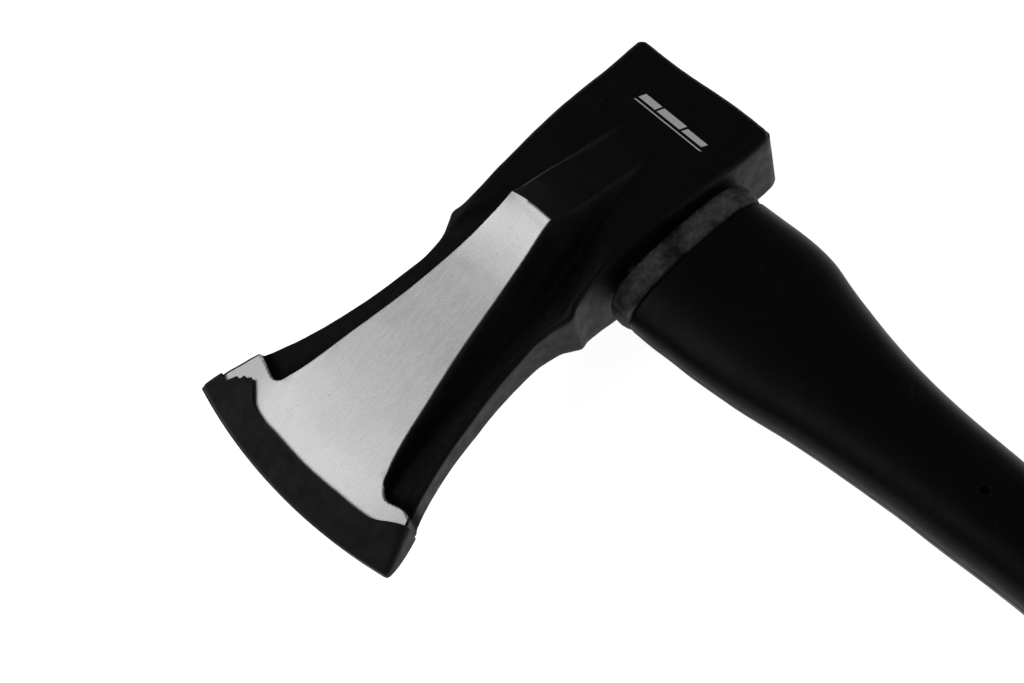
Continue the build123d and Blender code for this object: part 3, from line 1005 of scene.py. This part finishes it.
def plastic_material(name, colour, rough_, marks=1.0):
    """Satin moulded plastic: fine grained skin, faint handling scratches and scuffs."""
    p = Paint(name, colour, rough_, Specular_IOR_Level=0.09)
    cuts = scratches(p, (26, 1.6, 5), 38, 0.55, 0.68, 1.2)
    for size, turn, seed in (((20, 1.2, 4), -24, 5.7), ((30, 2.2, 6), 74, 9.1)):
        cuts = p.math("MAXIMUM", cuts, scratches(p, size, turn, 0.57, 0.7, seed))
    scuff = p.between(p.noise((24, 9, 9), 5.0, 20.0, 0.7, 3.3), 0.56, 0.8)
    body = p.mix(p.math("MULTIPLY", scuff, 0.5), colour, tuple(1.9 * c + 0.001 for c in colour))
    body = p.mix(p.math("MULTIPLY", cuts, 0.30 * marks), body, (0.03, 0.03, 0.03))
    lighter = tuple(2.5 * c + 0.003 for c in colour)
    p.set("Base Color", p.mix(p.between(p.stored("worn"), 0.25, 0.8, 0.0, 0.5), body, lighter))
    gloss = p.between(p.noise(8, 4.0, seed=7.7), 0.3, 0.75, rough_ - 0.05, rough_ + 0.07)
    p.set("Roughness", p.math("ADD", gloss, p.math("MULTIPLY", cuts, 0.2)))
    skin = p.math("ADD", p.noise(0.4, 2.0, seed=2.9), p.math("MULTIPLY", p.noise(2.4, 2.0, seed=4.9), 0.6))
    p.bump(p.math("SUBTRACT", skin, p.math("MULTIPLY", cuts, 0.8)), 0.22, 0.06)
    return p.material


def resin_material():
    p = Paint("cast_resin", (0.004, 0.0038, 0.0035), 0.35, Specular_IOR_Level=0.12)
    cloud = p.between(p.noise(6, 4.0, seed=1.0), 0.35, 0.7)
    p.set("Base Color", p.mix(cloud, (0.003, 0.0028, 0.0026), (0.0065, 0.006, 0.0055)))
    bubbles = p.between(p.cells(1.9), 0.1, 0.28, 0.0, 1.0)
    p.set("Roughness", p.between(cloud, 0.0, 1.0, 0.28, 0.45))
    p.bump(bubbles, 0.5, 0.25)
    return p.material


def fibre_material():
    p = Paint("glass_fibre_rod", (0.45, 0.40, 0.20), 0.42, Specular_IOR_Level=0.5)
    strands = p.noise((40.0, 0.35, 0.35), 2.0, seed=1.0)
    p.set("Base Color", p.mix(p.between(strands, 0.35, 0.65), (0.34, 0.29, 0.13), (0.58, 0.54, 0.33)))
    p.set("Roughness", p.between(strands, 0.3, 0.7, 0.36, 0.52))
    p.bump(strands, 0.4, 0.08)
    return p.material


def print_material():
    """Pad-printed white ink, slightly worn through."""
    p = Paint("plain_white_print", (0.8, 0.8, 0.8), 0.5, Specular_IOR_Level=0.4)
    thin = p.between(p.noise(1.2, 4.0, seed=2.0), 0.55, 0.8)
    p.set("Base Color", p.mix(thin, (0.86, 0.86, 0.86), (0.55, 0.55, 0.55)))
    p.bump(p.noise(0.5, 2.0, seed=3.0), 0.2, 0.03)
    return p.material


def dress(obj, material):
    obj.data.materials.clear()
    obj.data.materials.append(material)


def keep_head_marks(head):
    """Stores where the head is ground bright, its smudges and painted shade, the walls of its pockets where
    painted shade darkens them, and the floors of its pockets.
    """
    points = points_of(head)
    a, back = points[:, 0], -points[:, 1]
    bow = step(back, 160, EDGE_BACK)
    half = flank_half(back + edge_drop(a) * bow, bow)
    crest = back - CREST_BACK - crest_shift(a)
    spare = np.where((a < 0) | (back > 173), 0.28, -0.05)
    ground = np.minimum(np.minimum(spare - pocket_depth(a, back), crest), half - 0.9 - np.abs(a))
    keep_number(head, "ground", np.clip(ground, -3, 3))
    lines = np.exp(-(((back - 79.4 - 0.05 * a) / 0.9) ** 2)) * 0.55
    lines = lines + np.exp(-(((back - 104 + 0.03 * a) / 2.6) ** 2)) * 0.5
    corner = np.exp(-(((a + 8.0) / 3.2) ** 2) - ((back - 80.5) / 2.8) ** 2) * 0.5
    uneven = 0.7 + 0.6 * rough(points, 6.0, 12.3)
    # painted shade: the ground face is darker towards both ends of the edge, more at -a, and towards the edge
    ends = 0.75 * step(-a, 22, 38) + 0.35 * step(a, 26, 42) + 0.12 * step(back, 150, 186)
    keep_number(head, "smudge_and_shade", np.clip((lines + corner) * uneven + ends, 0, 1))
    depth = pocket_depth(a, back)
    # painted shade: this mask darkens the paint along the rib's walls
    wall = step(depth, 0.1, 0.9) * (1 - step(depth, 2.2, 5.5)) * step(back, 70, 84)
    keep_number(head, "wall", wall)
    keep_number(head, "floor", step(depth, 3.5, 8.0) * step(back, 70, 100))


# ---------------------------------------------------------------- the stage
LENS_MM = 71.3
AIM = Vector((0.016058, -0.108081, 0.0))
AZIMUTH, ELEVATION, ROLL, DISTANCE = 66.994, 60.8105, -21.3749, 0.676395


def direction(azimuth, elevation):
    """Unit vector towards a viewer at an azimuth (0 looks along +Y) and elevation in degrees."""
    az, el = math.radians(azimuth), math.radians(elevation)
    return Vector((math.sin(az) * math.cos(el), -math.cos(az) * math.cos(el), math.sin(el)))


def make_camera():
    """The photograph's view, with its roll."""
    back = direction(AZIMUTH, ELEVATION)
    side = Vector((0, 0, 1)).cross(back).normalized()
    up = back.cross(side)
    turn = math.radians(ROLL)
    right = side * math.cos(turn) + up * math.sin(turn)
    top = up * math.cos(turn) - side * math.sin(turn)
    data = bpy.data.cameras.new("photo_camera")
    data.lens, data.sensor_width, data.sensor_fit = LENS_MM, 36.0, "HORIZONTAL"
    data.clip_start, data.clip_end = 0.01, 50.0
    camera = bpy.data.objects.new("photo_camera", data)
    pose = Matrix((right, top, back)).transposed().to_4x4()
    pose.translation = AIM + back * DISTANCE
    camera.matrix_world = pose
    bpy.context.scene.collection.objects.link(camera)
    bpy.context.scene.camera = camera


def softbox(name, azimuth, elevation, far, size, watts):
    """An area light facing the head."""
    data = bpy.data.lights.new(name, "AREA")
    data.shape, data.size, data.size_y, data.energy = "RECTANGLE", size[0], size[1], watts
    lamp = bpy.data.objects.new(name, data)
    out = direction(azimuth, elevation)
    lamp.matrix_world = Matrix.Translation(AIM + out * far) @ out.to_track_quat("Z", "Y").to_matrix().to_4x4()
    bpy.context.scene.collection.objects.link(lamp)


FLOOR_GLOW = 0.93


def make_floor(height):
    """A wide pale sweep that glows a little, as a light table does."""
    side = 6.0
    grid = np.linspace(-side, side, 9)
    verts = [(x / MM, y / MM, height / MM) for y in grid for x in grid]
    floor = new_object("floor", verts, sheet_faces(9, 9))
    p = Paint("pale_floor", (0.86, 0.86, 0.86), 0.9, Specular_IOR_Level=0.0)
    p.shader.inputs["Emission Color"].default_value = (1, 1, 1, 1)
    p.shader.inputs["Emission Strength"].default_value = FLOOR_GLOW
    dress(floor, p.material)
    floor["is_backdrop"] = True


def make_studio():
    world = bpy.data.worlds.new("studio")
    bpy.context.scene.world = world
    world.use_nodes = True
    world.node_tree.nodes["Background"].inputs["Color"].default_value = (1, 1, 1, 1)
    world.node_tree.nodes["Background"].inputs["Strength"].default_value = 0.10
    softbox("front_softbox", -42, 46, 1.5, (1.1, 0.9), 5.5)
    softbox("side_softbox", 150, 24, 2.0, (1.6, 0.7), 5)
    softbox("far_softbox", 262, 18, 2.2, (1.8, 0.6), 2.5)
    bpy.context.scene.view_settings.view_transform = "Standard"
    bpy.context.scene.view_settings.look = "None"


# ---------------------------------------------------------------- putting it together
def build():
    head, guard, collar = make_head(), make_guard(), make_collar()
    jacket, grip, butt, cap, mark = make_jacket(), make_grip(), make_butt(), make_cap(), make_mark()
    for obj in (head, guard, collar, jacket, grip, butt, cap):
        keep_edges(obj)
    keep_head_marks(head)
    dress(head, head_material())
    for obj, name, dark, pale, dust_from, dust_to, rough_ in (
        (guard, "guard_rubber", (0.008, 0.008, 0.0082), (0.016, 0.016, 0.016), 0.45, 0.8, 0.62),
        (collar, "collar_rubber", (0.008, 0.008, 0.008), (0.13, 0.128, 0.125), 0.40, 0.68, 0.66),
        (grip, "grip_rubber", (0.012, 0.012, 0.012), (0.030, 0.030, 0.030), 0.5, 0.85, 0.7),
    ):
        dress(obj, rubber_material(name, dark, pale, dust_from, dust_to, rough_))
    dress(jacket, plastic_material("handle_plastic", (0.0038, 0.0038, 0.0039), 0.40))
    dress(butt, plastic_material("butt_plastic", (0.010, 0.010, 0.010), 0.46, 0.6))
    dress(cap, plastic_material("cap_plastic", (0.009, 0.009, 0.009), 0.42, 0.5))
    dress(mark, print_material())
    dress(frame["nodes"]["eye_resin"], resin_material())
    dress(frame["nodes"]["core_rod"], fibre_material())
    finish_piece(head, "maul", "forged_head", "maul_head")
    finish_piece(guard, "guard", "guard_rubber", "edge_guard")
    finish_piece(collar, "maul", "collar_rubber", "neck_collar")
    finish_piece(jacket, "maul", "jacket_plastic", "handle_jacket")
    finish_piece(grip, "maul", "grip_rubber", "grip_sleeve")
    finish_piece(butt, "maul", "butt_plastic", "butt_cap")
    finish_piece(cap, "maul", "cap_plastic", "eye_cap")
    finish_piece(mark, "maul", "forged_head")


build()
make_camera()
make_studio()
make_floor(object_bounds()[0][2] - 0.0002)
